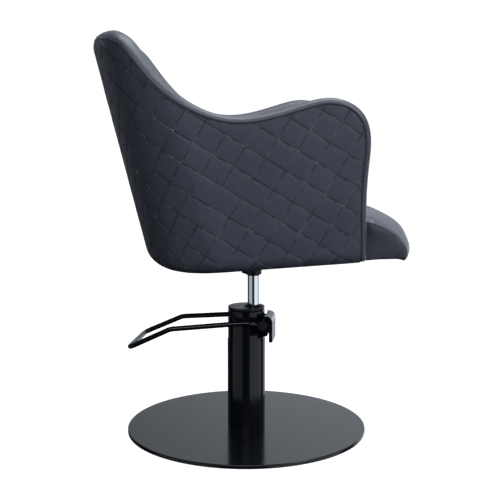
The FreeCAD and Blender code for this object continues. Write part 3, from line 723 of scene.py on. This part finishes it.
def band_thread():
    """Two rows of top stitching beside the band's outer seam."""
    stations = band_stations()
    centres, alongs, normals = [], [], []
    for off in TOP_STITCH_OFF:
        line, inward = [], []
        for k in stations:
            s, t = RIM_LINE[k]
            inset, depth = band_arc(band_turn(off, s, t), s, t)
            line.append(band_point(np.array([k]), inset, np.array([depth])))
            inward.append(band_point(np.array([k]), inset + 0.006, np.array([depth + 0.003])))
        line, inward = np.vstack(line), np.vstack(inward)
        gone = np.r_[0, np.cumsum(np.linalg.norm(np.diff(line, axis=0), axis=1))]
        at = np.arange(0.01, gone[-1] - 0.01, STITCH_PITCH)
        point = np.column_stack([np.interp(at, gone, line[:, k]) for k in range(3)])
        ahead = np.column_stack([np.interp(at + 0.001, gone, line[:, k]) for k in range(3)])
        out = np.column_stack([np.interp(at, gone, (line - inward)[:, k]) for k in range(3)])
        along = unit(ahead - point)
        out = unit(out - along * (out * along).sum(1)[:, None])
        centres.append(point + out * BAND_STITCH_LIFT)
        alongs.append(along)
        normals.append(out)
    stitches("band_thread", centres, alongs, normals, THREAD_DARK)


# ---- inner lining ------------------------------------------------------------------------------
LINING_SEAM_S = 0.245        # the two upright seams at the corners of the back
LINING_SEAM_OFF = (0.0015, 0.003, 0.005, 0.008, 0.012)   # rows of the mesh either side of them
LINING_STITCH_OFF = 0.0045   # a row of stitches this far either side of each
LINING_STEP, LINING_T = 0.0085, 0.003
LINING_SWELL = 0.0070        # it swells by this over the tub's inner face
LINING_PINCH, PINCH_WIDTH = 0.55, 0.020         # share of that lost round a seam, this far out
LINING_PULL, PULL_WIDTH = 0.0022, 0.0022        # and the seam itself is pulled in by this
LINING_LOW = 0.085           # it ends this high over the tub's underside, behind the cushion
LINING_FREE = (0.05, 0.14)   # and swells from none to all between these, over its end
LINING_STITCH_LIFT = 0.0003


def lining_low(s):
    """The lining runs down behind the cushion to here."""
    rear, forward = section(s)[1:]
    return level_t(TUB_MIDDLE + rear * (TUB_DEPTH - WALL) - forward, LINING_LOW)


def lining_inset(s, t):
    """How deep in the tub's wall the lining lies: it swells between the band and its seams."""
    depth = rim_depth(s, t)[0]
    swell = smooth(depth, BAND_IN - 0.002, BAND_IN + 0.040)
    beside = np.abs(np.abs(s) - LINING_SEAM_S)
    seam = np.exp(-(beside / PULL_WIDTH) ** 2)
    pinch = np.exp(-(beside / PINCH_WIDTH) ** 2)
    above = smooth(t - lining_low(s), *LINING_FREE)
    puffed = LINING_SWELL * (1 - LINING_PINCH * pinch) - LINING_PULL * seam
    return WALL - 0.001 + swell * (0.002 + above * puffed)


def lining_surface(s, t):
    """The lining's surface and its normals, which point to the sitter."""
    e = 0.0006

    def at(a, b):
        return tub(a, b, lining_inset(a, b))
    here = at(s, t)
    normal = unit(np.cross(at(s + e, t) - at(s - e, t), at(s, t + e) - at(s, t - e)))
    return here, normal


def inner_lining():
    """The smooth leather inside the tub, down behind the cushion."""
    reach = RIM_LINE[:, 0].max()
    plain = np.arange(-reach - 0.01, reach + 0.02, LINING_STEP)
    close = np.array([*(-off for off in LINING_SEAM_OFF[::-1]), 0, *LINING_SEAM_OFF])
    lines = np.r_[LINING_SEAM_S + close, -LINING_SEAM_S + close]
    far = np.min(np.abs(plain[:, None] - lines[None]), axis=1) > 0.004
    rows = np.sort(np.r_[plain[far], lines])
    columns = np.arange(0.44, 1.0, LINING_STEP)
    s, t, faces = trimmed_grid(rows, columns, lambda a, b: (a, b),
                               lambda t: BAND_IN - 0.004 + 0 * t, lining_low)
    verts, _ = lining_surface(s, t)
    obj = new_piece("inner_lining_padded", verts, faces, SMOOTH, "seat")
    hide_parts("inner_lining")
    solidify(obj, LINING_T)


def lining_thread():
    """A row of stitches either side of each upright seam."""
    centres, alongs, normals = [], [], []
    for side in (-1, 1):
        for off in (-LINING_STITCH_OFF, LINING_STITCH_OFF):
            t = np.arange(0.50, 0.98, STITCH_PITCH)
            s = np.full(len(t), side * LINING_SEAM_S + off)
            depth = rim_depth(s, t)[0]
            on = (depth > BAND_IN + 0.004) & (t > lining_low(s) + 0.03)
            s, t = s[on], t[on]
            here, normal = lining_surface(s, t)
            ahead, _ = lining_surface(s, t + 0.001)
            centres.append(here + normal * LINING_STITCH_LIFT)
            alongs.append(unit(ahead - here))
            normals.append(normal)
    stitches("lining_thread", centres, alongs, normals, THREAD_DARK)


# ---- seat cushion ------------------------------------------------------------------------------
CUSHION_VOXEL = 0.0055
CUSHION_SHRINK = 0.005       # the cloth starts this much inside the plain block
CUSHION_CAP = 0.010          # and swells by no more than this
PRESSURE, CLOTH_MASS, CLOTH_FRAMES = 4.0, 0.3, 20
BASE_SHARE = 0.45            # share of its swelling that the cushion's flat base keeps
BASE_Z = (0.455, 0.500)      # the base reaches up to the first of these heights, and fades
TOP_DROP = 0.016             # the filling settles by this under its own weight
TOP_Z = (0.470, 0.535)       # from none to all of it between these heights
NOSE_SPARED = 0.45           # share of it that the nose is spared
NOSE_Y = (0.225, 0.335)      # the nose grows out of the seat between these, ahead of the axis
CLEAR_Y, CLEAR_SHARE = (0.192, 0.210), 0.6      # clear of the tub's sill, it droops by this share
NOSE_DROOP = 0.013           # the nose hangs this much lower than the plain block's
LOW_Z = (0.440, 0.500)       # all of it below the first of these, and none above the second
NOSE_REACH = 0.008           # and bulges this much further forward
NOSE_Z, NOSE_HALF = 0.455, 0.025    # most at this height, fading over this
BROW_DROP = 0.005            # over the nose the top falls away this much more
BROW_Y, BROW_HALF = 0.303, 0.036    # most this far ahead of the axis, fading over this
BROW_Z = (0.450, 0.490)      # and from none to all of it between these heights


def apply_modifiers(obj):
    graph = bpy.context.evaluated_depsgraph_get()
    mesh = bpy.data.meshes.new_from_object(obj.evaluated_get(graph))
    obj.modifiers.clear()
    obj.data = mesh


def vertices_of(obj):
    co = np.empty(len(obj.data.vertices) * 3, np.float32)
    obj.data.vertices.foreach_get("co", co)
    return co.reshape(-1, 3).astype(float)


def set_vertices(obj, co):
    obj.data.vertices.foreach_set("co", np.asarray(co, np.float32).ravel())
    obj.data.update()


def normals_of(obj):
    out = np.empty(len(obj.data.vertices) * 3, np.float32)
    obj.data.vertex_normals.foreach_get("vector", out)
    return out.reshape(-1, 3).astype(float)


def seat_cushion():
    """The cushion, blown up as cloth from a slightly smaller copy of its CAD solid."""
    source = frame["nodes"]["seat_cushion"]
    obj = bpy.data.objects.new("seat_cushion_leather", source.data.copy())
    bpy.context.scene.collection.objects.link(obj)
    remesh = obj.modifiers.new("remesh", "REMESH")
    remesh.mode = "VOXEL"
    remesh.voxel_size = CUSHION_VOXEL
    apply_modifiers(obj)
    even = obj.modifiers.new("even", "SMOOTH")
    even.factor, even.iterations = 0.5, 6
    apply_modifiers(obj)
    start = vertices_of(obj) - normals_of(obj) * CUSHION_SHRINK
    set_vertices(obj, start)
    blow_up(obj, start)
    fine = obj.modifiers.new("fine", "SUBSURF")
    fine.levels = fine.render_levels = 1
    apply_modifiers(obj)
    obj.data.polygons.foreach_set("use_smooth", [True] * len(obj.data.polygons))
    hang_nose(obj)
    obj.data.materials.clear()
    obj.data.materials.append(SMOOTH)
    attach(obj, "seat")
    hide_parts("seat_cushion")


def blow_up(obj, start):
    """Swells the cushion by air pressure under its cover."""
    cloth = obj.modifiers.new("cloth", "CLOTH")
    settings = cloth.settings
    settings.use_pressure = True
    settings.uniform_pressure_force = PRESSURE
    settings.effector_weights.gravity = 0.0
    settings.quality = 5
    settings.mass = CLOTH_MASS
    scene = bpy.context.scene
    for number in range(1, CLOTH_FRAMES + 1):
        scene.frame_set(number)
    apply_modifiers(obj)
    moved = vertices_of(obj) - start
    length = np.linalg.norm(moved, axis=1, keepdims=True)
    moved *= CUSHION_CAP * np.tanh(length / CUSHION_CAP) / np.maximum(length, 1e-9)
    above = smooth(start[:, 2], *BASE_Z)[:, None]
    set_vertices(obj, start + moved * (BASE_SHARE + (1 - BASE_SHARE) * above))
    scene.frame_set(1)


def hang_nose(obj):
    """Settles the top, and lets the nose bulge and hang down in front of the arms."""
    co = vertices_of(obj)
    forward, height = -co[:, 1], co[:, 2].copy()
    ahead = smooth(forward, *NOSE_Y)
    clear = smooth(forward, *CLEAR_Y) * (CLEAR_SHARE + (1 - CLEAR_SHARE) * ahead)
    low = 1 - smooth(height, *LOW_Z)
    middle = np.exp(-((height - NOSE_Z) / NOSE_HALF) ** 2)
    brow = np.exp(-((forward - BROW_Y) / BROW_HALF) ** 2) * smooth(height, *BROW_Z)
    co[:, 2] -= TOP_DROP * smooth(height, *TOP_Z) * (1 - NOSE_SPARED * ahead)
    co[:, 2] -= NOSE_DROOP * clear * low + BROW_DROP * brow
    co[:, 1] -= NOSE_REACH * ahead * middle
    set_vertices(obj, co)


def plunger_spring():
    """The plunger's return spring: a zinc-plated copy of its CAD part, which moves with the plunger.
    """
    obj = bpy.data.objects.new("plunger_spring_coil", frame["nodes"]["plunger_spring"].data.copy())
    bpy.context.scene.collection.objects.link(obj)
    obj.data.materials.clear()
    obj.data.materials.append(ZINC)
    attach(obj, "plunger")
    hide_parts("plunger_spring")
    height = vertices_of(obj)[:, 2]
    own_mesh(obj)


# ---- studio ------------------------------------------------------------------------------------
CAMERA_AT = (-2.256, 0.132, 0.753)
CAMERA_YAW, CAMERA_PITCH = math.radians(-3.15), math.radians(-8.2)
CAMERA_LENS, SENSOR = 70.9, 36.0     # millimetres
FLOOR_HALF, FLOOR_GLOW = 40.0, 0.97


def camera():
    data = bpy.data.cameras.new("camera")
    data.lens, data.sensor_width = CAMERA_LENS, SENSOR
    data.clip_end = 60.0
    obj = bpy.data.objects.new("camera", data)
    bpy.context.scene.collection.objects.link(obj)
    obj.location = CAMERA_AT
    way = Vector((math.cos(CAMERA_YAW) * math.cos(CAMERA_PITCH),
                  math.sin(CAMERA_YAW) * math.cos(CAMERA_PITCH), math.sin(CAMERA_PITCH)))
    obj.rotation_euler = way.to_track_quat("-Z", "Y").to_euler()
    bpy.context.scene.camera = obj


def floor():
    """A pale floor that glows a little, so that it meets the white backdrop without a line."""
    pale = material("floor_pale", (0.30, 0.30, 0.30), 0.9, Specular_IOR_Level=0.0,
                    Emission_Color=(1, 1, 1, 1), Emission_Strength=FLOOR_GLOW)
    r = FLOOR_HALF
    mesh = bpy.data.meshes.new("floor")
    mesh.from_pydata([(-r, -r, 0), (r, -r, 0), (r, r, 0), (-r, r, 0)], [], [(0, 1, 2, 3)])
    mesh.materials.append(pale)
    obj = bpy.data.objects.new("floor", mesh)
    bpy.context.scene.collection.objects.link(obj)
    obj.visible_diffuse = obj.visible_glossy = False


def area_light(name, at, aim, size, power, colour=(1, 1, 1)):
    data = bpy.data.lights.new(name, "AREA")
    data.shape = "RECTANGLE"
    data.size, data.size_y = size
    data.energy = power
    data.color = colour
    obj = bpy.data.objects.new(name, data)
    bpy.context.scene.collection.objects.link(obj)
    obj.location = at
    obj.rotation_euler = (Vector(aim) - Vector(at)).to_track_quat("-Z", "Y").to_euler()
    obj.visible_camera = False


def backdrop():
    """White to look at. As a light it is dim below and behind, and has two tall bright sides.

    The sides show only in reflections: they are the white stripes down the chrome ram.
    """
    world = bpy.data.worlds.new("studio")
    bpy.context.scene.world = world
    world.use_nodes = True
    tree = world.node_tree
    place = tree.nodes.new("ShaderNodeTexCoord")
    split = tree.nodes.new("ShaderNodeSeparateXYZ")
    seen = tree.nodes.new("ShaderNodeLightPath")
    tree.links.new(place.outputs["Generated"], split.inputs[0])
    x, y, z = split.outputs

    def math_node(kind, *values):
        node = tree.nodes.new("ShaderNodeMath")
        node.operation = kind
        for socket, value in zip(node.inputs, values):
            if isinstance(value, float):
                socket.default_value = value
            else:
                tree.links.new(value, socket)
        return node.outputs[0]

    def ramp(value, low, high, to_low, to_high):
        node = tree.nodes.new("ShaderNodeMapRange")
        node.interpolation_type = "SMOOTHSTEP"
        for key, number in zip(("From Min", "From Max", "To Min", "To Max"),
                               (low, high, to_low, to_high)):
            node.inputs[key].default_value = number
        tree.links.new(value, node.inputs["Value"])
        return node.outputs["Result"]

    glossy = seen.outputs["Is Glossy Ray"]
    height = ramp(z, -0.25, 0.9, 0.07, 0.70)
    ambient = math_node("MULTIPLY", height, ramp(y, -0.5, 0.55, 1.0, 0.28))
    dim = math_node("MULTIPLY", math_node("MULTIPLY", ramp(x, -0.3, 0.1, 0.6, 0.0),
                                          ramp(z, 0.3, 0.6, 1.0, 0.0)), glossy)
    ambient = math_node("MULTIPLY", ambient, math_node("SUBTRACT", 1.0, dim))
    far = math_node("MULTIPLY", ramp(x, 0.4, 0.8, 0.0, 0.58), ramp(y, -0.16, 0.16, 1.0, 0.45))
    far = math_node("MULTIPLY", far, ramp(z, -0.3, -0.1, 0.0, 1.0))
    far = math_node("MULTIPLY", far, ramp(z, 0.5, 0.8, 1.0, 0.0))
    ambient = math_node("ADD", ambient, math_node("MULTIPLY", far, glossy))
    sides = ramp(math_node("ABSOLUTE", math_node("ADD", y, -0.08)), 0.32, 0.42, 0.0, 1.0)
    sides = math_node("MULTIPLY", sides, ramp(math_node("SUBTRACT", math_node("ABSOLUTE", y), y),
                                              0.0, 0.1, 0.5, 1.0))
    ahead = math_node("MAXIMUM", ramp(x, -0.05, 0.2, 1.0, 0.0), ramp(y, -0.1, 0.0, 1.0, 0.0))
    sides = math_node("MULTIPLY", math_node("MULTIPLY", sides, ahead),
                      ramp(z, -0.08, 0.12, 1.0, 0.0))
    gap = math_node("MULTIPLY", ramp(x, 0.08, 0.18, 0.0, 1.0), ramp(x, 0.45, 0.6, 1.0, 0.0))
    sides = math_node("MULTIPLY", sides, math_node("SUBTRACT", 1.0, gap))
    sides = math_node("MULTIPLY", sides, glossy)
    light = math_node("ADD", ambient, sides)
    camera_sees = seen.outputs["Is Camera Ray"]
    light = math_node("MAXIMUM", light, math_node("MULTIPLY", camera_sees, 1.05))
    tint = tree.nodes.new("ShaderNodeMix")
    tint.data_type = "RGBA"
    tint.inputs["A"].default_value = (0.85, 0.92, 1.0, 1)
    tint.inputs["B"].default_value = (1, 1, 1, 1)
    tree.links.new(camera_sees, tint.inputs["Factor"])
    tree.links.new(light, tree.nodes["Background"].inputs["Strength"])
    tree.links.new(tint.outputs["Result"], tree.nodes["Background"].inputs["Color"])


def studio():
    backdrop()
    area_light("key", (-1.7, -2.3, 2.3), (0, 0, 0.6), (1.2, 1.6), 62)
    area_light("top", (0.1, -0.3, 3.0), (0, 0, 0.6), (2.4, 2.4), 88, (0.92, 0.96, 1.0))
    area_light("side", (-3.0, 0.3, 1.9), (0, 0, 0.5), (2.2, 1.2), 40, (0.94, 0.97, 1.0))
    bpy.context.scene.view_settings.view_transform = "Standard"


# ---- the scene ---------------------------------------------------------------------------------
camera()
floor()
studio()
paint_cad_nodes()
quilted_cover()
quilt_thread()
rim_band()
band_thread()
inner_lining()
lining_thread()
seat_cushion()
plunger_spring()
